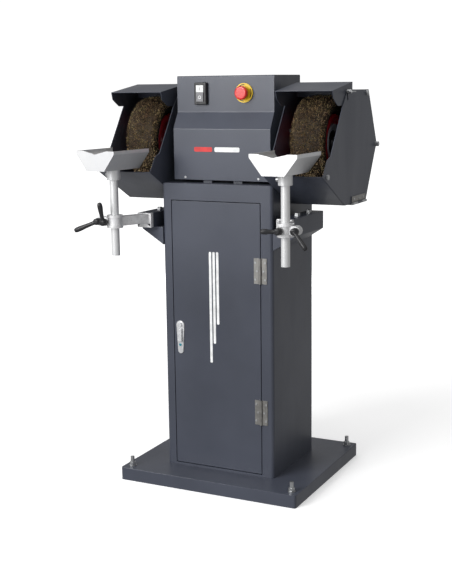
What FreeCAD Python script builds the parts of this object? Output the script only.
"""Pedestal brushing machine: two wire brushes on one motor spindle, on a floor cabinet.

Frame: X runs along the spindle to the right, Y runs from the front to the back,
Z is up.  The origin is the centre of the base's underside.  Lengths in millimetres.
"""
import FreeCAD, Part
import math
import os
import re
import Sketcher

os.makedirs("parts", exist_ok=True)
doc = FreeCAD.newDocument("brushing_machine")
vector = FreeCAD.Vector

# ---------------------------------------------------------------- driving sizes
SIZES = {
    # folded plinth and its anchors
    "base_width": 590, "base_depth": 519, "base_height": 39, "base_wall": 3, "base_round": 8,
    "beam_width": 10,
    "anchor_inset_side": 25, "anchor_inset_front": 30, "anchor_radius": 6, "anchor_rise": 30,
    "anchor_foot": 8, "washer_radius": 12, "washer_thick": 2.5, "nut_corner": 10.4, "nut_thick": 10,
    # cabinet and door
    "cabinet_width": 363, "cabinet_front": 158, "cabinet_back": 150.5, "cabinet_top": 920,
    "cabinet_wall": 2, "cabinet_round": 10, "cable_hole": 20,
    "door_left": 150, "door_right": 141.3, "door_low": 48, "door_high": 868, "door_gap": 2,
    "door_wall": 2, "door_flange": 18,
    "hinge_line": 142.3, "hinge_low": 203.7, "hinge_high": 633, "hinge_height": 76,
    "leaf_width": 20.5, "leaf_thick": 2, "knuckle_radius": 4, "hinge_pin_radius": 2,
    "screw_radius": 2, "screw_head": 3.4, "screw_head_thick": 1.4, "screw_length": 8,
    # door lock
    "lock_x": -128, "lock_low": 398, "lock_height": 103, "lock_width": 28, "lock_thick": 3,
    "lock_round": 9, "handle_width": 15, "handle_height": 42, "handle_thick": 6,
    "lock_key_radius": 6, "lock_button_radius": 6.5, "lock_button_rise": 4,
    "lock_key_rise": 28, "lock_button_drop": 12, "handle_rise": 38, "lock_stem_radius": 3,
    "lock_stem_length": 16, "lock_key_past": 6, "key_slot_width": 1.5, "key_slot_height": 8,
    "key_slot_deep": 2, "cam_width": 12, "cam_thick": 3, "cam_length": 34,
    # head (motor cover) and its base
    "head_width": 317.8, "head_low": 928, "head_high": 1233.6, "head_back": 101,
    "head_upper_front": 92, "head_bend_high": 1127.7, "head_bend_low": 1079,
    "head_lower_front": 120.6, "head_wall": 2, "head_floor": 3, "head_lip": 16,
    "pad_size": 28, "pad_spread": 50, "pad_inset": 8, "head_round": 4,
    "head_screw_inset": 38, "head_screw_rise": 8,
    # motor
    "spindle_height": 1037, "motor_radius": 80, "motor_wall": 5, "motor_length": 250,
    "bell_disc": 10, "bell_neck": 38, "bell_flange": 60, "bell_flange_thick": 6,
    "bearing_outer": 31, "bearing_width": 16, "bearing_place": 150,
    "rotor_radius": 44, "rotor_length": 120, "air_gap": 1, "motor_foot_width": 90,
    # spindle, brushes and what clamps them
    "shaft_radius": 14, "spindle_radius": 10, "spindle_half": 314,
    "brush_radius": 130, "brush_hub_width": 50, "brush_rim_width": 94, "brush_core": 30,
    "brush_flare": 75, "brush_shoulder": 6, "flange_radius": 75, "flange_thick": 5, "washer_ring": 42,
    "ring_thick": 3, "spindle_nut_corner": 17, "spindle_nut_thick": 8,
    # guards
    "guard_inner": 182.5, "guard_outer": 362.7, "guard_wall": 2.5, "guard_gap": 0.8,
    "guard_top": 1188, "guard_low": 860, "guard_top_back": 143, "guard_mid_back": 222,
    "guard_mid_high": 1027, "guard_low_back": 128, "guard_low_front": 50,
    "guard_lip_y": 226, "guard_lip_z": 955, "jog_low_y": 192, "jog_low_z": 1000,
    "jog_high_y": 166, "jog_high_z": 1009, "guard_cheek_y": 75, "guard_cheek_z": 1143,
    "guard_top_front": 35, "guard_roof_front": 14, "shaft_hole": 22,
    "guard_bolt_ring": 50, "guard_bolt_radius": 4, "guard_bolt_head": 6.5,
    "guard_bolt_thick": 5,
    "strap_low": -1, "strap_length": 117, "strap_height": 18, "strap_pin_out": 4.5,
    "strap_knuckle": 3.8, "strap_gap": 0.3, "strap_lift": 4, "strap_leaf": 30,
    "strap_riser": 24, "strap_bridge": 3.5, "strap_pin_radius": 2,
    "cover_screw_radius": 3, "cover_screw_head": 7.5, "cover_screw_thick": 5,
    # adjustable hoods
    "hood_gap": 0.6, "hood_wall": 2, "hood_front": 146, "hood_front_z": 1188,
    "hood_back": 11.5, "hood_back_z": 1211, "hood_pivot_y": 2, "hood_pivot_z": 1178,
    "hood_clamp_y": -38, "hood_clamp_z": 1184, "hood_slot_half": 4, "hood_pin_radius": 4,
    "wing_radius": 6, "wing_span": 11, "wing_gap": 0.3, "wing_length": 12, "wing_thick": 3,
    "wing_shank_radius": 3,
    # work rests: brackets, arms, posts and trays
    "channel_inner": 206, "channel_outer": 254, "channel_low": 786, "channel_high": 830,
    "channel_wall": 3, "channel_front": 172, "channel_back": 55, "gusset_drop": 54,
    "tail_fit": 0.5, "tail_back": 20, "arm_block": 16, "channel_bolt_radius": 5,
    "channel_bolt_head": 9, "channel_bolt_thick": 8, "channel_bolt_front": 90, "channel_bolt_back": 2,
    "post_x": 275, "post_y": 280, "post_radius": 12.5, "post_fit": 0.35, "post_low": 712,
    "post_high": 962, "boss_radius": 24, "boss_low": 795, "boss_height": 38,
    "boss_waist": 3, "boss_rim": 8, "boss_split": 2, "ear_reach_left": 60, "ear_reach_right": 46,
    "ear_half": 12, "ear_screw_inset": 11, "boss_lever_x_left": 294, "boss_lever_x_right": 267,
    "boss_screw_left": 20, "boss_screw_right": 9, "arm_web_low": 800, "arm_web_height": 27,
    "tray_top": 1025, "tray_depth": 58.4, "tray_top_width": 142, "tray_low_width": 67,
    "tray_front": 81, "tray_back": 81, "tray_wall": 2.5, "tray_notch": 46, "tray_notch_deep": 10,
    "tray_lip": 10,
    "collar_radius": 20, "collar_height": 30, "set_screw_radius": 4, "set_screw_head": 7,
    # clamp levers
    "lever_hub_radius": 8.5, "lever_hub_length": 20, "lever_root": 4.2, "lever_tip": 5.5,
    "lever_lean": 75, "lever_screw_radius": 4,
    "ear_length_left": 70, "ear_length_right": 60,
    "boss_length_left": 58, "boss_length_right": 44,

    # controls
    "switch_x": -76, "switch_z": 1182, "switch_width": 40, "switch_height": 65, "switch_rise": 12,
    "switch_button_width": 24, "on_height": 21, "off_height": 27, "button_rise": 3,
    "button_gap": 0.6, "switch_body": 26, "switch_hole_inset": 6, "switch_body_inset": 6.5,
    "stop_x": 64, "stop_z": 1183, "stop_ring": 28, "stop_ring_thick": 4, "stop_collar": 14,
    "stop_collar_length": 8, "stop_cap": 20, "stop_cap_thick": 12, "stop_stem": 9,
    "stop_body": 11, "stop_body_length": 40, "stop_travel": 4,
    "running_fit": 0.05, "small_gap": 0.5, "long_tool": 100, "short_tool": 20, "tray_yaw_left": 8, "tray_yaw_right": 1,
}

sheet = doc.addObject("Spreadsheet::Sheet", "sizes")
for row, (alias, value) in enumerate(SIZES.items(), start=1):
    sheet.set("A%d" % row, alias)
    sheet.set("B%d" % row, str(value))
    sheet.setAlias("B%d" % row, alias)
doc.recompute()

WORD = re.compile(r"\b(" + "|".join(sorted(SIZES, key=len, reverse=True)) + r")\b")
pieces = []


def bound(formula):
    """A formula in size names, written the way the document's expressions need it."""
    return WORD.sub(r"sizes.\1", str(formula))


def bind(item, **formulas):
    for prop, formula in formulas.items():
        item.setExpression(prop.replace("__", "."), bound(formula))


def place(item, x=0, y=0, z=0):
    bind(item, Placement__Base__x=x, Placement__Base__y=y, Placement__Base__z=z)
    return item


def piece(item, label):
    """Marks an object as one finished sub-part and names it."""
    item.Label = label
    pieces.append(item)
    return item


# ---------------------------------------------------------------- shape helpers
count = [0]


def fresh(word):
    count[0] += 1
    return "%s_%03d" % (word, count[0])


def block(length, width, height, x, y, z):
    item = doc.addObject("Part::Box", fresh("block"))
    bind(item, Length=length, Width=width, Height=height)
    return place(item, x, y, z)


TURNS = {
    "x": FreeCAD.Rotation(vector(0, 1, 0), 90),
    "y": FreeCAD.Rotation(vector(1, 0, 0), -90),
    "z": FreeCAD.Rotation(),
}


def rod(axis, radius, length, x, y, z):
    item = doc.addObject("Part::Cylinder", fresh("rod"))
    item.Placement = FreeCAD.Placement(vector(), TURNS[axis])
    bind(item, Radius=radius, Height=length)
    return place(item, x, y, z)


def hexagon(axis, corner, length, x, y, z):
    item = doc.addObject("Part::Prism", fresh("hexagon"))
    item.Polygon = 6
    item.Placement = FreeCAD.Placement(vector(), TURNS[axis])
    bind(item, Circumradius=corner, Height=length)
    return place(item, x, y, z)


def group(items):
    item = doc.addObject("Part::Compound", fresh("group"))
    item.Links = items
    return item


def join(items):
    item = doc.addObject("Part::MultiFuse", fresh("join"))
    item.Shapes = items
    item.Refine = True
    return item


def cut(base, tools):
    item = doc.addObject("Part::Cut", fresh("cut"))
    item.Base = base
    item.Tool = tools[0] if len(tools) == 1 else join(tools)
    item.Refine = True
    return item


def rounded(item, radius, test):
    """Rounds the edges of a finished solid whose middle point passes the test."""
    doc.recompute()
    chosen = []
    for number, edge in enumerate(item.Shape.Edges, start=1):
        if test(edge):
            chosen.append((number, radius, radius))
    fillet = doc.addObject("Part::Fillet", fresh("fillet"))
    fillet.Base = item
    fillet.Edges = chosen
    return fillet


def size(alias):
    return float(sheet.get(alias))


def runs_along(edge, direction):
    first, last = edge.Vertexes[0].Point, edge.Vertexes[-1].Point
    run = last.sub(first)
    return run.Length > 1e-6 and abs(run.normalize().dot(direction)) > 0.999


def plane_of(body, role):
    return [item for item in body.Origin.OriginFeatures if item.Role == role][0]


def sketch_outline(body, role, points):
    """A closed outline of straight runs, each corner held by two dimensions."""
    sketch = body.newObject("Sketcher::SketchObject", fresh("outline"))
    sketch.AttachmentSupport = [(plane_of(body, role), "")]
    sketch.MapMode = "FlatFace"
    total = len(points)
    corners = []
    for number in range(total):
        turn = 2 * math.pi * number / total
        corners.append(vector(100 * math.cos(turn), 100 * math.sin(turn), 0))
    for number in range(total):
        sketch.addGeometry(Part.LineSegment(corners[number], corners[(number + 1) % total]), False)
    for number in range(total):
        sketch.addConstraint(Sketcher.Constraint("Coincident", number, 2, (number + 1) % total, 1))
    for number, point in enumerate(points):
        for kind, formula in zip(("DistanceX", "DistanceY"), point):
            index = sketch.addConstraint(Sketcher.Constraint(kind, -1, 1, number, 1, 1.0))
            sketch.setExpression("Constraints[%d]" % index, bound(formula))
    return sketch


def padded(role, points, length):
    """A body: an outline on one of its origin planes, padded by a length."""
    body = doc.addObject("PartDesign::Body", fresh("body"))
    pad = body.newObject("PartDesign::Pad", fresh("pad"))
    pad.Profile = sketch_outline(body, role, points)
    bind(pad, Length=length)
    return body


def hollow(body, wall, open_faces):
    """Folded sheet: the solid keeps a wall inwards, and the named faces stay open."""
    doc.recompute()
    tip = body.Tip
    names = []
    for number, face in enumerate(tip.Shape.Faces, start=1):
        if open_faces(face):
            names.append("Face%d" % number)
    shell = body.newObject("PartDesign::Thickness", fresh("shell"))
    shell.Base = (tip, names)
    shell.Reversed = True
    shell.Join = 1
    bind(shell, Value=wall)
    return body


def softened(body, radius, test):
    doc.recompute()
    tip = body.Tip
    names = []
    for number, edge in enumerate(tip.Shape.Edges, start=1):
        if test(edge):
            names.append("Edge%d" % number)
    fillet = body.newObject("PartDesign::Fillet", fresh("rounding"))
    fillet.Base = (tip, names)
    bind(fillet, Radius=radius)
    return body


def revolved(points):
    """A body turned about X: points are (along the axis, radius)."""
    body = doc.addObject("PartDesign::Body", fresh("body"))
    turn = body.newObject("PartDesign::Revolution", fresh("turned"))
    turn.Profile = sketch_outline(body, "XY_Plane", points)
    turn.ReferenceAxis = (plane_of(body, "X_Axis"), [""])
    turn.Angle = 360
    return body


def facing(face, direction):
    low, high = face.ParameterRange[0], face.ParameterRange[1]
    low2, high2 = face.ParameterRange[2], face.ParameterRange[3]
    normal = face.normalAt((low + high) / 2, (low2 + high2) / 2)
    return normal.dot(direction) > 0.999


RIGHT = vector(1, 0, 0)
BACK = vector(0, 1, 0)
UP = vector(0, 0, 1)
SIDES = (("left", -1), ("right", 1))


def out(side, near, far):
    """Where a span that lies between two distances from the middle starts along X."""
    return near if side > 0 else "-(%s)" % far


def across(side, distance):
    return distance if side > 0 else "-(%s)" % distance


# ---------------------------------------------------------------- plinth and anchors
anchor_places = []
for side_x in (-1, 1):
    for side_y in (-1, 1):
        anchor_x = "%d * (base_width / 2 - anchor_inset_side)" % side_x
        anchor_y = "%d * (base_depth / 2 - anchor_inset_front)" % side_y
        anchor_places.append((anchor_x, anchor_y))


def make_plinth():
    corners = [("-base_width / 2", "-base_depth / 2"), ("base_width / 2", "-base_depth / 2"),
               ("base_width / 2", "base_depth / 2"), ("-base_width / 2", "base_depth / 2")]
    body = padded("XY_Plane", corners, "base_height")
    softened(body, "base_round", lambda edge: runs_along(edge, UP))
    hollow(body, "base_wall", lambda face: facing(face, -UP))
    holes = []
    for x, y in anchor_places:
        holes.append(rod("z", "anchor_radius + small_gap", "base_height", x, y, "base_wall"))
    beam = block("beam_width", "base_depth - 2 * base_wall", "base_height - base_wall",
                 "-beam_width / 2", "-base_depth / 2 + base_wall", 0)
    piece(cut(join([body, beam]), holes), "base_plate")


def make_anchors():
    studs, washers, nuts = [], [], []
    for x, y in anchor_places:
        studs.append(rod("z", "anchor_radius", "base_height + anchor_rise - anchor_foot",
                         x, y, "anchor_foot"))
        hole = rod("z", "anchor_radius + running_fit", "long_tool", x, y, 0)
        washers.append(cut(rod("z", "washer_radius", "washer_thick", x, y, "base_height"), [hole]))
        for level in ("base_height + washer_thick", "base_height - base_wall - nut_thick"):
            hole = rod("z", "anchor_radius + running_fit", "long_tool", x, y, 0)
            nuts.append(cut(hexagon("z", "nut_corner", "nut_thick", x, y, level), [hole]))
    piece(group(studs), "anchor_studs")
    piece(group(washers), "anchor_washers")
    piece(group(nuts), "anchor_nuts")


# ---------------------------------------------------------------- cabinet and door
def make_cabinet():
    corners = [("-cabinet_width / 2", "-cabinet_front"), ("cabinet_width / 2", "-cabinet_front"),
               ("cabinet_width / 2", "cabinet_back"), ("-cabinet_width / 2", "cabinet_back")]
    body = padded("XY_Plane", corners, "cabinet_top - base_height")
    softened(body, "cabinet_round", lambda edge: runs_along(edge, UP))
    hollow(body, "cabinet_wall", lambda face: facing(face, -UP))
    place(body, 0, 0, "base_height")
    doorway = block("door_left + door_right + 2 * door_gap", "4 * cabinet_wall",
                    "door_high - door_low + 2 * door_gap",
                    "-(door_left + door_gap)", "-(cabinet_front + 2 * cabinet_wall)",
                    "door_low - door_gap")
    cable = rod("z", "cable_hole", "4 * cabinet_wall", 0, 0, "cabinet_top - 2 * cabinet_wall")
    piece(cut(body, [doorway, cable] + screw_holes(1, "cabinet_wall")), "cabinet_shell")


def make_door():
    body = doc.addObject("PartDesign::Body", fresh("body"))
    corners = [("-door_left", "door_low"), ("door_right", "door_low"),
               ("door_right", "door_high"), ("-door_left", "door_high")]
    pad = body.newObject("PartDesign::Pad", fresh("pad"))
    pad.Profile = sketch_outline(body, "XZ_Plane", corners)
    bind(pad, Length="door_flange")
    hollow(body, "door_wall", lambda face: facing(face, BACK))
    place(body, 0, "-cabinet_front + door_flange", 0)
    key = rod("y", "lock_key_radius + small_gap", "4 * door_wall",
              "lock_x", "-(cabinet_front + door_wall)", "lock_low + lock_key_rise")
    stem = rod("y", "lock_stem_radius + small_gap", "4 * door_wall", "lock_x",
               "-(cabinet_front + door_wall)", "lock_low + lock_height - lock_button_drop")
    piece(cut(body, [key, stem] + screw_holes(-1, "door_wall")), "door_panel")


HINGES = ("hinge_low", "hinge_high")


def screw_spots(side):
    """Three screws in each leaf: x, z of every screw on one side of the hinge line."""
    spots = []
    for low in HINGES:
        for share, reach in ((0.17, 0.78), (0.5, 0.5), (0.83, 0.78)):
            spots.append(("hinge_line + %d * leaf_width * %s" % (side, reach),
                          "%s + hinge_height * %s" % (low, share)))
    return spots


def screw_holes(side, wall):
    holes = []
    for x, z in screw_spots(side):
        holes.append(rod("y", "screw_radius + running_fit", "4 * %s" % wall,
                         x, "-(cabinet_front + %s)" % wall, z))
    return holes


def make_hinges():
    pin_y = "-(cabinet_front + knuckle_radius)"
    pins = []
    for low in HINGES:
        pins.append(rod("z", "hinge_pin_radius", "hinge_height", "hinge_line", pin_y, low))
    piece(group(pins), "hinge_pins")
    for side, label in ((1, "hinge_leaves_frame"), (-1, "hinge_leaves_door")):
        leaves = []
        for low in HINGES:
            near = "hinge_line + knuckle_radius + small_gap"
            if side < 0:
                near = "hinge_line - leaf_width"
            parts = [block("leaf_width - knuckle_radius - small_gap", "leaf_thick", "hinge_height",
                           near, "-(cabinet_front + leaf_thick)", low)]
            thirds = ((0, 1), (2, 1)) if side > 0 else ((1, 1),)
            for start, span in thirds:
                level = "%s + hinge_height * %d / 3 + %s" % (low, start, "running_fit")
                tall = "hinge_height / 3 - 2 * running_fit"
                parts.append(rod("z", "knuckle_radius", tall, "hinge_line", pin_y, level))
                bridge_x = "hinge_line" if side > 0 else "hinge_line - knuckle_radius - small_gap"
                parts.append(block("knuckle_radius + small_gap", "leaf_thick", tall,
                                   bridge_x, "-(cabinet_front + leaf_thick)", level))
            holes = [rod("z", "hinge_pin_radius + running_fit", "hinge_height + 2",
                         "hinge_line", pin_y, low + " - 1")]
            for x, z in screw_spots(side):
                if low in z:
                    holes.append(rod("y", "screw_radius + running_fit", "4 * leaf_thick",
                                     x, "-(cabinet_front + 2 * leaf_thick)", z))
            leaves.append(cut(join(parts), holes))
        piece(group(leaves), label)


def pan_screw(x, face, z):
    """A pan-head screw driven towards the back; face is where its head sits."""
    head = rod("y", "screw_head", "screw_head_thick", x, "%s - screw_head_thick" % face, z)
    shank = rod("y", "screw_radius", "screw_length", x, face, z)
    return join([head, shank])


def make_panel_screws():
    face = "-(cabinet_front + leaf_thick)"
    frame_screws = [pan_screw(x, face, z) for x, z in screw_spots(1)]
    for x in HEAD_SCREWS:
        frame_screws.append(pan_screw(x, "-head_lower_front", "head_low + head_screw_rise"))
    piece(group(frame_screws), "panel_screws")
    door_screws = [pan_screw(x, face, z) for x, z in screw_spots(-1)]
    piece(group(door_screws), "hinge_screws_door")


HEAD_SCREWS = ("-head_width / 2 + head_screw_inset", "head_width / 2 - head_screw_inset")


# ---------------------------------------------------------------- door lock
def make_lock():
    face = "-cabinet_front"
    plate = block("lock_width", "lock_thick", "lock_height",
                  "lock_x - lock_width / 2", "-(cabinet_front + lock_thick)", "lock_low")
    plate = rounded(plate, size("lock_round"), lambda edge: runs_along(edge, BACK))
    key_z, button_z = "lock_low + lock_key_rise", "lock_low + lock_height - lock_button_drop"
    before = "-(cabinet_front + short_tool / 2)"
    holes = [rod("y", "lock_key_radius + small_gap", "short_tool", "lock_x", before, key_z),
             rod("y", "lock_button_radius + small_gap", "short_tool", "lock_x", before, button_z)]
    piece(cut(plate, holes), "lock_plate")
    handle = block("handle_width", "handle_thick", "handle_height", "lock_x - handle_width / 2",
                   "-(cabinet_front + lock_thick + small_gap + handle_thick)", "lock_low + handle_rise")
    handle = rounded(handle, size("handle_thick") / 3, lambda edge: True)
    piece(handle, "lock_handle")
    button = join([rod("y", "lock_button_radius", "lock_button_rise - small_gap", "lock_x",
                       "-(cabinet_front + lock_thick + lock_button_rise)", button_z),
                   rod("y", "lock_stem_radius", "lock_stem_length", "lock_x",
                       face + " - lock_thick - small_gap", button_z)])
    piece(button, "lock_button")
    key = rod("y", "lock_key_radius", "lock_thick + door_flange + lock_key_past", "lock_x",
              "-(cabinet_front + lock_thick + 1)", key_z)
    key_slot = block("key_slot_width", "key_slot_deep", "key_slot_height",
                     "lock_x - key_slot_width / 2",
                     "-(cabinet_front + lock_thick + key_slot_deep)",
                     "lock_low + lock_key_rise - key_slot_height / 2")
    cam = block("cam_width", "cam_thick", "cam_length", "lock_x - cam_width / 2",
                "-cabinet_front + door_flange + cabinet_wall", "lock_low")
    piece(join([cut(key, [key_slot]), cam]), "lock_cylinder")


# ---------------------------------------------------------------- head and its base
def make_head():
    half = "head_width / 2"
    profile = [("head_back", "head_low"), ("head_back", "head_high"),
               ("-head_upper_front", "head_high"), ("-head_upper_front", "head_bend_high"),
               ("-head_lower_front", "head_bend_low"), ("-head_lower_front", "head_low")]
    body = padded("YZ_Plane", profile, "head_width")
    softened(body, "head_round", lambda edge: runs_along(edge, RIGHT)
             and edge.CenterOfMass.z > size("head_low") + 1)
    hollow(body, "head_wall", lambda face: facing(face, -UP))
    place(body, "-head_width / 2", 0, 0)
    openings = [rod("x", "bell_neck + 2", "head_width + short_tool",
                    "-(head_width + short_tool) / 2", 0, "spindle_height"),
                block("switch_width - 2 * switch_hole_inset", "short_tool",
                      "switch_height - 2 * switch_hole_inset",
                      "switch_x - switch_width / 2 + switch_hole_inset",
                      "-head_upper_front - short_tool / 2",
                      "switch_z - switch_height / 2 + switch_hole_inset"),
                rod("y", "stop_body + small_gap", "short_tool", "stop_x",
                    "-head_upper_front - short_tool / 2", "stop_z")]
    for x in HEAD_SCREWS:
        openings.append(rod("y", "screw_radius + running_fit", 12, x, "-head_lower_front - 4",
                            "head_low + head_screw_rise"))
    piece(cut(body, openings), "head_cover")
    inside = "head_wall + running_fit"
    plate = block("head_width - 2 * (%s)" % inside,
                  "head_lower_front + head_back - 2 * (%s)" % inside, "head_floor",
                  "-(%s) + %s" % (half, inside), "-head_lower_front + %s" % inside, "head_low")
    lip = block("head_width - 2 * (%s)" % inside, "head_floor", "head_lip",
                "-(%s) + %s" % (half, inside), "-head_lower_front + %s" % inside, "head_low")
    pads = []
    for side_x in (-1, 1):
        for pad_y in ("-head_lower_front + pad_inset", "head_back - pad_inset - pad_size"):
            pads.append(block("pad_size", "pad_size", "head_low - cabinet_top",
                              "%d * pad_spread - pad_size / 2" % side_x, pad_y, "cabinet_top"))
    holes = [rod("z", "cable_hole", "2 * short_tool", 0, 0, "head_low - short_tool")]
    for x in HEAD_SCREWS:
        holes.append(rod("y", "screw_radius + running_fit", 12, x, "-head_lower_front - 2",
                         "head_low + head_screw_rise"))
    piece(cut(join([plate, lip] + pads), holes), "head_base")


# ---------------------------------------------------------------- motor and spindle
def make_motor():
    half = "motor_length / 2"
    tube = rod("x", "motor_radius", "motor_length", "-motor_length / 2", 0, "spindle_height")
    saddle = block("motor_length * 0.7", "motor_foot_width",
                   "spindle_height - head_low - head_floor - motor_radius / 2",
                   "-motor_length * 0.35", "-motor_foot_width / 2", "head_low + head_floor")
    bore = rod("x", "motor_radius - motor_wall", "motor_length + 2", "-motor_length / 2 - 1",
               0, "spindle_height")
    piece(cut(join([tube, saddle]), [bore]), "motor_housing")
    core = rod("x", "motor_radius - motor_wall - running_fit", "rotor_length",
               "-rotor_length / 2", 0, "spindle_height")
    core_bore = rod("x", "rotor_radius + air_gap", "rotor_length + 2",
                    "-rotor_length / 2 - 1", 0, "spindle_height")
    piece(cut(core, [core_bore]), "stator_core")
    bells, bearings, bolts = [], [], []
    for name, side in SIDES:
        disc = rod("x", "motor_radius", "bell_disc", out(side, half, half + " + bell_disc"),
                   0, "spindle_height")
        neck = rod("x", "bell_neck", "guard_inner - motor_length / 2",
                   out(side, half, "guard_inner"), 0, "spindle_height")
        flange = rod("x", "bell_flange", "bell_flange_thick",
                     out(side, "guard_inner - bell_flange_thick", "guard_inner"), 0, "spindle_height")
        seat_end = "bearing_place + bearing_width / 2"
        seat = rod("x", "bearing_outer + running_fit", "%s - motor_length / 2 + 1" % seat_end,
                   out(side, half + " - 1", seat_end), 0, "spindle_height")
        way = rod("x", "shaft_radius + 1", "guard_inner - motor_length / 2 + 2",
                  out(side, half + " - 1", "guard_inner + 1"), 0, "spindle_height")
        tools = [seat, way]
        for turn in (45, 135, 225, 315):
            y = "guard_bolt_ring * cos(%d)" % turn
            z = "spindle_height + guard_bolt_ring * sin(%d)" % turn
            tools.append(rod("x", "guard_bolt_radius + running_fit", 20,
                             out(side, "guard_inner - bell_flange_thick - 1",
                                 "guard_inner - bell_flange_thick - 1 + 20"), y, z))
            shank = rod("x", "guard_bolt_radius", "bell_flange_thick + guard_wall",
                        out(side, "guard_inner - bell_flange_thick", "guard_inner + guard_wall"), y, z)
            head = hexagon("x", "guard_bolt_head", "guard_bolt_thick",
                           out(side, "guard_inner + guard_wall",
                               "guard_inner + guard_wall + guard_bolt_thick"), y, z)
            bolts.append(join([shank, head]))
        bells.append(cut(join([disc, neck, flange]), tools))
        ring = rod("x", "bearing_outer", "bearing_width",
                   out(side, "bearing_place - bearing_width / 2", seat_end), 0, "spindle_height")
        hole = rod("x", "shaft_radius + running_fit", "bearing_width + 2",
                   out(side, "bearing_place - bearing_width / 2 - 1", seat_end + " + 1"),
                   0, "spindle_height")
        bearings.append(cut(ring, [hole]))
    piece(group(bells), "motor_end_bells")
    piece(group(bearings), "motor_bearings")
    piece(group(bolts), "guard_bolts")


BRUSH_MIDDLE = "(guard_inner + guard_outer) / 2"
SHOULDER = "(guard_inner + guard_outer) / 2 - brush_hub_width / 2 - flange_thick"


def make_spindle():
    shaft = join([rod("x", "shaft_radius", "2 * (%s)" % SHOULDER, "-(%s)" % SHOULDER,
                      0, "spindle_height"),
                  rod("x", "spindle_radius", "2 * spindle_half", "-spindle_half",
                      0, "spindle_height")])
    piece(shaft, "motor_shaft")
    rotor = rod("x", "rotor_radius", "rotor_length", "-rotor_length / 2", 0, "spindle_height")
    rotor_bore = rod("x", "shaft_radius", "rotor_length + 2", "-rotor_length / 2 - 1",
                     0, "spindle_height")
    piece(cut(rotor, [rotor_bore]), "motor_rotor")
    flanges, rings, nuts = [], [], []
    for name, side in SIDES:
        hub, rim = "brush_hub_width / 2", "brush_rim_width / 2"
        profile = [("-(%s)" % hub, "spindle_radius"), (hub, "spindle_radius"),
                   (hub, "brush_flare"), (rim, "brush_radius - brush_shoulder"), ("%s - brush_shoulder" % rim, "brush_radius"),
                   ("-(%s - brush_shoulder)" % rim, "brush_radius"), ("-(%s)" % rim, "brush_radius - brush_shoulder"),
                   ("-(%s)" % hub, "brush_flare")]
        brush = revolved(profile)
        place(brush, across(side, BRUSH_MIDDLE), 0, "spindle_height")
        piece(brush, "brush_" + name)
        for near in ("%s - %s - flange_thick" % (BRUSH_MIDDLE, hub), "%s + %s" % (BRUSH_MIDDLE, hub)):
            disc = rod("x", "flange_radius", "flange_thick",
                       out(side, near, near + " + flange_thick"), 0, "spindle_height")
            hole = rod("x", "spindle_radius", 30, out(side, near + " - 10", near + " + 20"),
                       0, "spindle_height")
            flanges.append(cut(disc, [hole]))
        seat = "%s + %s + flange_thick" % (BRUSH_MIDDLE, hub)
        ring = rod("x", "washer_ring", "ring_thick", out(side, seat, seat + " + ring_thick"),
                   0, "spindle_height")
        hole = rod("x", "spindle_radius", 30, out(side, seat + " - 10", seat + " + 20"),
                   0, "spindle_height")
        rings.append(cut(ring, [hole]))
        seat = seat + " + ring_thick"
        nut = hexagon("x", "spindle_nut_corner", "spindle_nut_thick",
                      out(side, seat, seat + " + spindle_nut_thick"), 0, "spindle_height")
        hole = rod("x", "spindle_radius", 30, out(side, seat + " - 10", seat + " + 20"),
                   0, "spindle_height")
        nuts.append(cut(nut, [hole]))
    piece(group(flanges), "brush_flanges")
    piece(group(rings), "clamp_washers")
    piece(group(nuts), "spindle_nuts")


# ---------------------------------------------------------------- guards and covers
REAR_OUTLINE = [("guard_top_back", "guard_top"), ("guard_mid_back", "guard_mid_high"),
                ("guard_low_back", "guard_low"), ("-guard_low_front", "guard_low"),
                ("-guard_lip_y", "guard_lip_z"), ("-jog_low_y", "jog_low_z"),
                ("-jog_high_y", "jog_high_z"), ("-guard_cheek_y", "guard_cheek_z"),
                ("-guard_top_front", "guard_top")]


def in_mouth(face):
    """The faces of the guard's solid that the brush is reached through."""
    return face.normalAt(0, 0).y < -0.1 and face.CenterOfMass.z > size("guard_lip_z")


def make_guards():
    for name, side in SIDES:
        depth = "guard_outer - guard_wall - guard_gap - guard_inner"
        body = padded("YZ_Plane", REAR_OUTLINE, depth)
        outward = RIGHT * side
        hollow(body, "guard_wall", lambda face: facing(face, outward) or in_mouth(face))
        place(body, out(side, "guard_inner", "guard_outer - guard_wall - guard_gap"), 0, 0)
        roof_inner, roof_outer = "guard_inner + guard_wall", "guard_outer"
        tools = [block("guard_outer - guard_inner - guard_wall",
                       "guard_cheek_y + guard_roof_front", "3 * guard_wall",
                       out(side, roof_inner, roof_outer), "-guard_cheek_y",
                       "guard_top - 2 * guard_wall"),
                 rod("x", "shaft_hole", "3 * guard_wall",
                     out(side, "guard_inner - guard_wall", "guard_inner + 2 * guard_wall"),
                     0, "spindle_height"),
                 rod("x", "hood_pin_radius + running_fit", "3 * guard_wall",
                     out(side, "guard_inner - guard_wall", "guard_inner + 2 * guard_wall"),
                     "hood_pivot_y", "hood_pivot_z")]
        for turn in (45, 135, 225, 315):
            tools.append(rod("x", "guard_bolt_radius + running_fit", "3 * guard_wall",
                             out(side, "guard_inner - guard_wall", "guard_inner + 2 * guard_wall"),
                             "guard_bolt_ring * cos(%d)" % turn,
                             "spindle_height + guard_bolt_ring * sin(%d)" % turn))
        piece(cut(body, tools), "guard_" + name)


PIN_OUT = "guard_outer + strap_pin_out"


def cover_knuckle(side, start, span):
    return rod("y", "strap_knuckle", "%s - strap_gap" % span, across(side, PIN_OUT), "strap_low + %s" % start, "guard_low")


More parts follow.
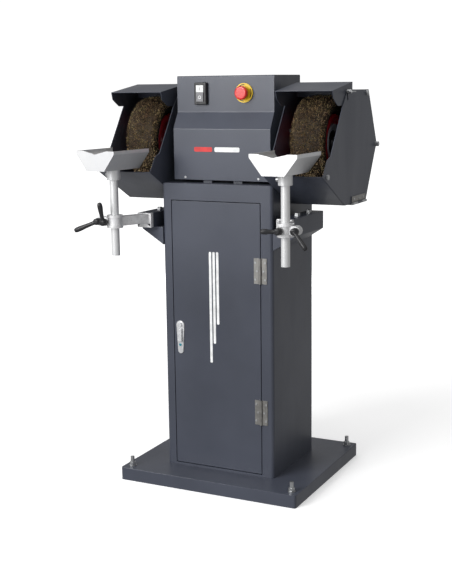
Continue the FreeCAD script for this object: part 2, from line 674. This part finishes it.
def make_covers():
    hinges = []
    third = "strap_length / 3"
    for name, side in SIDES:
        plate = padded("YZ_Plane", REAR_OUTLINE, "guard_wall")
        place(plate, out(side, "guard_outer - guard_wall", "guard_outer"), 0, 0)
        strap = block("leaf_thick", "strap_length", "strap_height",
                      out(side, "guard_outer", "guard_outer + leaf_thick"), "strap_low",
                      "guard_low + strap_lift")
        knuckle = cover_knuckle(side, third, third)
        bridge = block("strap_pin_out", third + " - strap_gap", "strap_bridge",
                       out(side, "guard_outer", PIN_OUT), "strap_low + " + third, "guard_low")
        slot = slot_arc(side)
        pin_way = rod("y", "strap_pin_radius + running_fit", "strap_length + 2", across(side, PIN_OUT), "strap_low - 1",
                      "guard_low")
        piece(cut(join([plate, strap, knuckle, bridge]), [slot, pin_way]), "side_cover_" + name)
        leaf = block("strap_leaf + strap_pin_out", "strap_length", "leaf_thick",
                     out(side, "guard_outer - strap_leaf", PIN_OUT), "strap_low", "guard_low - strap_knuckle")
        riser = block("strap_riser", "strap_length", "strap_knuckle",
                      out(side, "guard_outer - strap_leaf", "guard_outer - strap_leaf + strap_riser"),
                  "strap_low", "guard_low - strap_knuckle")
        swept = rod("y", "strap_knuckle + small_gap", third + " + strap_gap", across(side, PIN_OUT),
                    "strap_low + " + third + " - strap_gap", "guard_low")
        ends = [cover_knuckle(side, "0", third), cover_knuckle(side, "2 * " + third, third)]
        pin = rod("y", 2, "strap_length", across(side, PIN_OUT), "strap_low", "guard_low")
        hinges.append(join([cut(join([leaf, riser] + ends), [swept]), pin]))
        screws = []
        for y, z, thick in (("guard_top_back - 19", "guard_top - 10", 1),
                            ("guard_mid_back - 13", "guard_mid_high - 4", 2.2),
                            ("-guard_lip_y + 32", "guard_lip_z - 2", 1)):
            face = "guard_outer"
            tall = "cover_screw_thick * %s" % thick
            head = rod("x", "cover_screw_head", tall,
                       out(side, face, "%s + %s" % (face, tall)), y, z)
            screws.append(head)
        piece(group(screws), "cover_screws_" + name)
        make_hood_screw(name, side)
    piece(group(hinges), "cover_hinges")


def slot_arc(side):
    """A curved slot about the hood's pivot, from the clamp screw downwards."""
    radius = "sqrt(pow(hood_clamp_y - hood_pivot_y; 2) + pow(hood_clamp_z - hood_pivot_z; 2))"
    start = out(side, "guard_outer - 2 * guard_wall", "guard_outer + 2 * guard_wall")
    ring = doc.addObject("Part::Cylinder", fresh("slot"))
    ring.Placement = FreeCAD.Placement(vector(), TURNS["x"])
    bind(ring, Radius=radius + " + hood_slot_half", Height="4 * guard_wall")
    place(ring, start, "hood_pivot_y", "hood_pivot_z")
    ring.Angle = 40
    inner = rod("x", radius + " - hood_slot_half", "4 * guard_wall", start,
                "hood_pivot_y", "hood_pivot_z")
    # the sector starts at the clamp screw and opens towards the brush
    turn = math.degrees(math.atan2(size("hood_clamp_z") - size("hood_pivot_z"),
                                   size("hood_clamp_y") - size("hood_pivot_y")))
    along = FreeCAD.Rotation(RIGHT, turn - 4)
    ring.Placement = FreeCAD.Placement(vector(), along.multiply(SECTOR))
    place(ring, start, "hood_pivot_y", "hood_pivot_z")
    return cut(ring, [inner])


# a cylinder's own axis laid along X, with its sector starting on +Y
SECTOR = FreeCAD.Rotation(vector(0, 1, 0), vector(0, 0, 1), vector(1, 0, 0), "ZXY")


def make_hood_screw(name, side):
    """The wing screw that presses on the hood's cheek through the curved slot."""
    y, z = "hood_clamp_y", "hood_clamp_z"
    reach = "guard_outer - guard_wall - hood_gap / 2"
    shank = rod("x", "wing_shank_radius", "guard_wall + hood_gap / 2 + 2", out(side, reach, "guard_outer + 2"), y, z)
    hub = rod("x", "wing_radius", "wing_length",
                  out(side, "guard_outer + wing_gap", "guard_outer + wing_gap + wing_length"), y, z)
    wings = []
    for turn in (-1, 1):
        wings.append(rod("z", "wing_radius", "wing_thick", across(side, "guard_outer + 17"),
                         "%s + %d * wing_span * 0.7" % (y, turn), "%s - wing_thick / 2" % z))
    web = block("wing_length", "1.6 * wing_span", "wing_thick", out(side, "guard_outer + 6", "guard_outer + 18"),
                "%s - 0.8 * wing_span" % y, "%s - wing_thick / 2" % z)
    piece(join([shank, hub, web] + wings), "hood_screw_" + name)


def under_hood(face):
    """The faces that stay open: all but the roof, the cheeks and the fold at the back."""
    normal = face.normalAt(0, 0)
    return abs(normal.x) < 0.5 and normal.z < 0.9 and normal.y < 0.9


def make_hoods():
    """Tilted roof with a cheek at each side, turning on two pins near its back."""
    cheek = [("-hood_front", "hood_front_z"), ("-hood_front + 6", "hood_front_z - 22"),
             ("-hood_front + 20", "hood_front_z - 31"), ("-hood_front + 41", "hood_front_z - 43"),
             ("-hood_front + 72", "hood_front_z - 43"), ("hood_pivot_y - 10", "hood_pivot_z - 9"),
             ("hood_pivot_y + 8", "hood_pivot_z - 9"), ("hood_pivot_y + 10", "hood_pivot_z + 4"),
             ("hood_back", "hood_back_z")]
    inner = "guard_inner + guard_wall + hood_gap"
    outer = "guard_outer - guard_wall - hood_gap"
    for name, side in SIDES:
        body = padded("YZ_Plane", cheek, "%s - (%s)" % (outer, inner))
        hollow(body, "hood_wall", under_hood)
        place(body, out(side, inner, outer), 0, 0)
        pins = []
        pins.append(rod("x", "hood_pin_radius", "guard_wall + hood_gap + hood_wall",
                        out(side, "guard_inner", inner + " + hood_wall"),
                        "hood_pivot_y", "hood_pivot_z"))
        piece(join([body] + pins), "hood_" + name)


# ---------------------------------------------------------------- work rests
CHANNEL_MIDDLE = "(channel_inner + channel_outer) / 2"


def make_brackets():
    bolts = []
    for name, side in SIDES:
        start = out(side, "channel_inner", "channel_outer")
        long = "channel_front + channel_back"
        tube = block("channel_outer - channel_inner", long, "channel_high - channel_low",
                     start, "-channel_front", "channel_low")
        inside = block("channel_outer - channel_inner - 2 * channel_wall", long + " + 2",
                       "channel_high - channel_low - 2 * channel_wall",
                       out(side, "channel_inner + channel_wall", "channel_outer - channel_wall"),
                       "-channel_front - 1", "channel_low + channel_wall")
        wall = across(side, "cabinet_width / 2")
        far = across(side, "channel_outer")
        gusset = doc.addObject("PartDesign::Body", fresh("body"))
        pad = gusset.newObject("PartDesign::Pad", fresh("pad"))
        pad.Profile = sketch_outline(gusset, "XZ_Plane", [
            (wall, "channel_low"), (far, "channel_low"), (far, "channel_low - 8"),
            (wall, "channel_low - gusset_drop")])
        bind(pad, Length="cabinet_front + channel_back")
        inward = RIGHT * -side
        hollow(gusset, "channel_wall", lambda face: facing(face, inward))
        place(gusset, 0, "channel_back", 0)
        tapped = []
        for y in ("-channel_bolt_front", "-channel_bolt_back"):
            x = across(side, CHANNEL_MIDDLE)
            tapped.append(rod("z", "channel_bolt_radius + running_fit", "4 * channel_wall", x, y,
                              "channel_high - 2 * channel_wall"))
            shank = rod("z", "channel_bolt_radius", "channel_wall + 1", x, y,
                        "channel_high - channel_wall")
            head = hexagon("z", "channel_bolt_head", "channel_bolt_thick", x, y, "channel_high")
            bolts.append(join([shank, head]))
        piece(cut(join([tube, gusset]), [inside] + tapped), "rest_bracket_" + name)
    piece(group(bolts), "bracket_bolts")


def make_arms():
    """Cast arm: a tail in the channel, a block at its mouth, a web and a split boss."""
    for name, side in SIDES:
        gap = "channel_wall + tail_fit"
        tail = block("channel_outer - channel_inner - 2 * (%s)" % gap, "channel_front - tail_back",
                     "channel_high - channel_low - 2 * (%s)" % gap,
                     out(side, "channel_inner + " + gap, "channel_outer - (%s)" % gap),
                     "-channel_front", "channel_low + " + gap)
        head = block("channel_outer - channel_inner", "arm_block", "channel_high - channel_low",
                     out(side, "channel_inner", "channel_outer"),
                     "-channel_front - arm_block", "channel_low")
        web_body = doc.addObject("PartDesign::Body", fresh("body"))
        pad = web_body.newObject("PartDesign::Pad", fresh("pad"))
        web = [("channel_inner + 6", "-channel_front - arm_block + 1"),
               ("channel_outer - 6", "-channel_front - arm_block + 1"),
               ("post_x + boss_radius * 0.72", "-post_y + boss_radius * 0.6"),
               ("post_x - boss_radius * 0.8", "-post_y + boss_radius * 0.1")]
        pad.Profile = sketch_outline(web_body, "XY_Plane", [(across(side, x), y) for x, y in web])
        bind(pad, Length="arm_web_height")
        place(web_body, 0, 0, "arm_web_low")
        centre_x, centre_y = across(side, "post_x"), "-post_y"
        boss = [rod("z", "boss_radius - boss_waist", "boss_height", centre_x, centre_y, "boss_low"),
                rod("z", "boss_radius", "boss_rim", centre_x, centre_y, "boss_low"),
                rod("z", "boss_radius", "boss_rim", centre_x, centre_y,
                    "boss_low + boss_height - boss_rim")]
        reach = "ear_reach_" + name
        ear_end = "post_x + %s - arm_web_height / 2" % reach
        ear = [block("%s - arm_web_height / 2" % reach, "2 * ear_half", "arm_web_height",
                     out(side, "post_x", ear_end), "-post_y - ear_half", "arm_web_low"),
               rod("y", "arm_web_height / 2", "2 * ear_half", across(side, ear_end),
                   "-post_y - ear_half", "arm_web_low + arm_web_height / 2")]
        bore = rod("z", "post_radius + post_fit", "boss_height + 2", centre_x, centre_y,
                   "boss_low - 1")
        split = block(reach + " + 2", "boss_split", "boss_height + 2",
                      out(side, "post_x", "post_x + %s + 2" % reach),
                      "-post_y - boss_split / 2", "boss_low - 1")
        ways = [rod("y", "lever_screw_radius + running_fit", "2 * ear_half + 2",
                    across(side, "post_x + %s - ear_screw_inset" % reach), "-post_y - ear_half - 1",
                    LEVER_HEIGHT),
                rod("y", "lever_screw_radius + running_fit", "boss_screw_%s + 2" % name,
                    across(side, "boss_lever_x_" + name), "-post_y - boss_radius - 1", LEVER_HEIGHT)]
        piece(cut(join([tail, head, web_body] + boss + ear), [bore, split] + ways),
              "rest_arm_" + name)


LEVER_HEIGHT = "boss_low + boss_height / 2 - 1"


def make_posts_and_trays():
    for name, side in SIDES:
        x = across(side, "post_x")
        piece(rod("z", "post_radius", "post_high - post_low", x, "-post_y", "post_low"),
              "rest_post_" + name)
        low = "tray_top - tray_depth"
        trough = doc.addObject("PartDesign::Body", fresh("body"))
        pad = trough.newObject("PartDesign::Pad", fresh("pad"))
        pad.Profile = sketch_outline(trough, "XZ_Plane", [
            ("-tray_low_width / 2", low), ("tray_low_width / 2", low),
            ("tray_top_width / 2", "tray_top - tray_lip"), ("tray_top_width / 2", "tray_top"),
            ("-tray_top_width / 2", "tray_top"), ("-tray_top_width / 2", "tray_top - tray_lip")])
        bind(pad, Length="tray_front + tray_back")
        hollow(trough, "tray_wall", lambda face: facing(face, UP) or facing(face, BACK))
        place(trough, 0, "tray_back", 0)
        notch = doc.addObject("PartDesign::Body", fresh("body"))
        pad = notch.newObject("PartDesign::Pad", fresh("pad"))
        pad.Profile = sketch_outline(notch, "XZ_Plane", [
            ("-tray_notch", "tray_top + 0.5"), ("0", "tray_top - tray_notch_deep"),
            ("tray_notch", "tray_top + 0.5")])
        bind(pad, Length=10)
        place(notch, 0, "-tray_front + 6", 0)
        collar = rod("z", "collar_radius", "collar_height", 0, 0, low + " - collar_height")
        bore = rod("z", "post_radius + post_fit", "collar_height + 1", 0, 0,
                   low + " - collar_height - 1")
        set_level = low + " - collar_height / 2"
        tapped = rod("x", "set_screw_radius + running_fit", "collar_radius",
                     "-collar_radius - 1", 0, set_level)
        tray = cut(join([cut(trough, [notch]), collar]), [bore, tapped])
        yaw = "tray_yaw_%s" % name
        turned(tray, x, "-post_y", yaw)
        piece(tray, "rest_tray_" + name)
        screw = join([rod("x", "set_screw_radius", "collar_radius - post_radius - post_fit",
                          "-collar_radius", 0, set_level),
                      rod("x", "set_screw_head", 6, "-collar_radius - 6", 0, set_level)])
        turned(screw, x, "-post_y", yaw)
        piece(screw, "tray_screw_" + name)


def turned(item, x, y, yaw):
    """Stands the item on a post, turned clockwise seen from above."""
    item.Placement = FreeCAD.Placement(vector(), FreeCAD.Rotation(UP, -size(yaw)))
    place(item, x, y, 0)


def make_lever(name, length, x, y, handle, screw):
    """Clamp lever: a screw along its axis, a hub, and a handle that leans outwards."""
    parts = [rod("z", "lever_screw_radius", "%s + 1" % screw, 0, 0, "-(%s)" % screw),
             rod("z", "lever_hub_radius", "lever_hub_length", 0, 0, 0)]
    bar = doc.addObject("Part::Cone", fresh("bar"))
    bind(bar, Radius1="lever_root", Radius2="lever_tip", Height=length)
    bar.Placement = FreeCAD.Placement(vector(), FreeCAD.Rotation(BACK, size("lever_lean")))
    place(bar, 0, 0, "lever_hub_length * 0.6")
    end = doc.addObject("Part::Sphere", fresh("tip"))
    bind(end, Radius="lever_tip")
    place(end, "%s * sin(lever_lean)" % length, 0,
          "lever_hub_length * 0.6 + %s * cos(lever_lean)" % length)
    lever = join(parts + [bar, end])
    turn = FreeCAD.Rotation(handle, (-BACK).cross(handle), -BACK, "ZXY")
    lever.Placement = FreeCAD.Placement(vector(), turn)
    place(lever, x, y, LEVER_HEIGHT)
    piece(lever, name)


EAR_HANDLES = {"left": (-0.92, -0.39), "right": (0.69, -0.72)}
BOSS_HANDLES = {"left": (0, 1), "right": (-1, 0)}


def make_levers():
    for name, side in SIDES:
        x, z = EAR_HANDLES[name]
        make_lever("ear_lever_" + name, "ear_length_" + name,
                   across(side, "post_x + ear_reach_%s - ear_screw_inset" % name),
                   "-post_y - ear_half - wing_gap", vector(x, 0, z).normalize(), "2 * ear_half")
        x, z = BOSS_HANDLES[name]
        make_lever("boss_lever_" + name, "boss_length_" + name,
                   across(side, "boss_lever_x_" + name), "-post_y - boss_radius - wing_gap",
                   vector(x, 0, z).normalize(), "boss_screw_" + name)


# ---------------------------------------------------------------- controls
def make_controls():
    face = "-head_upper_front"
    housing = block("switch_width", "switch_rise", "switch_height", "switch_x - switch_width / 2",
                    face + " - switch_rise", "switch_z - switch_height / 2")
    housing = rounded(housing, 3, lambda edge: edge.CenterOfMass.y < -size("head_upper_front") - 1)
    rear = block("switch_width - 2 * switch_body_inset", "switch_body",
                 "switch_height - 2 * switch_body_inset",
                 "switch_x - switch_width / 2 + switch_body_inset", face,
                 "switch_z - switch_height / 2 + switch_body_inset")
    well = block("switch_button_width + 2 * button_gap", "switch_rise + 8",
                 "on_height + off_height + 3 * button_gap",
                 "switch_x - switch_button_width / 2 - button_gap", face + " - switch_rise - 1",
                 SWITCH_LOW + " - button_gap")
    piece(cut(join([housing, rear]), [well]), "switch_housing")
    for label, low, tall in (("off_button", SWITCH_LOW, "off_height"),
                             ("on_button", SWITCH_LOW + " + off_height + button_gap", "on_height")):
        button = block("switch_button_width", "switch_rise", tall,
                       "switch_x - switch_button_width / 2", face + " - switch_rise - button_rise", low)
        button = rounded(button, 1.2, lambda edge: edge.CenterOfMass.y < -size("head_upper_front")
                         - size("switch_rise") - size("button_rise") + 0.1)
        piece(button, label)
    ring = rod("y", "stop_ring", "stop_ring_thick", "stop_x", face + " - stop_ring_thick", "stop_z")
    collar = rod("y", "stop_collar", "stop_collar_length", "stop_x",
                 face + " - stop_ring_thick - stop_collar_length", "stop_z")
    body = rod("y", "stop_body", "stop_body_length", "stop_x", face, "stop_z")
    bore = rod("y", "stop_stem + running_fit", 40, "stop_x",
               face + " - stop_ring_thick - stop_collar_length - 1", "stop_z")
    piece(cut(join([ring, collar, body]), [bore]), "stop_base")
    back = face + " - stop_ring_thick - stop_collar_length - stop_travel - small_gap"
    cap = rod("y", "stop_cap", "stop_cap_thick", "stop_x", back + " - stop_cap_thick", "stop_z")
    cap = rounded(cap, 5, lambda edge: edge.CenterOfMass.y < -size("head_upper_front")
                  - size("stop_ring_thick") - size("stop_collar_length") - size("stop_cap_thick"))
    stem = rod("y", "stop_stem", 26, "stop_x", back, "stop_z")
    piece(join([cap, stem]), "stop_button")


SWITCH_LOW = "switch_z - (on_height + off_height + button_gap) / 2"

# ---------------------------------------------------------------- build and check
for make in (make_plinth, make_anchors, make_cabinet, make_door, make_hinges, make_panel_screws,
             make_lock, make_head, make_motor, make_spindle, make_guards, make_covers, make_hoods,
             make_brackets, make_arms, make_posts_and_trays, make_levers, make_controls):
    make()
doc.recompute()

for item in doc.Objects:
    if "Invalid" in item.State or "Error" in item.State:
        raise RuntimeError("%s (%s) did not rebuild" % (item.Name, item.Label))
for item in pieces:
    shape = item.Shape
    if shape.isNull() or not shape.isValid() or not shape.Solids:
        raise RuntimeError("%s has no sound solid" % item.Label)
for item in pieces:
    item.Shape.exportStep("parts/%s.step" % item.Label)
    print("%-20s solids %2d  volume %10.0f" % (item.Label, len(item.Shape.Solids), item.Shape.Volume))
print(len(pieces), "nodes")
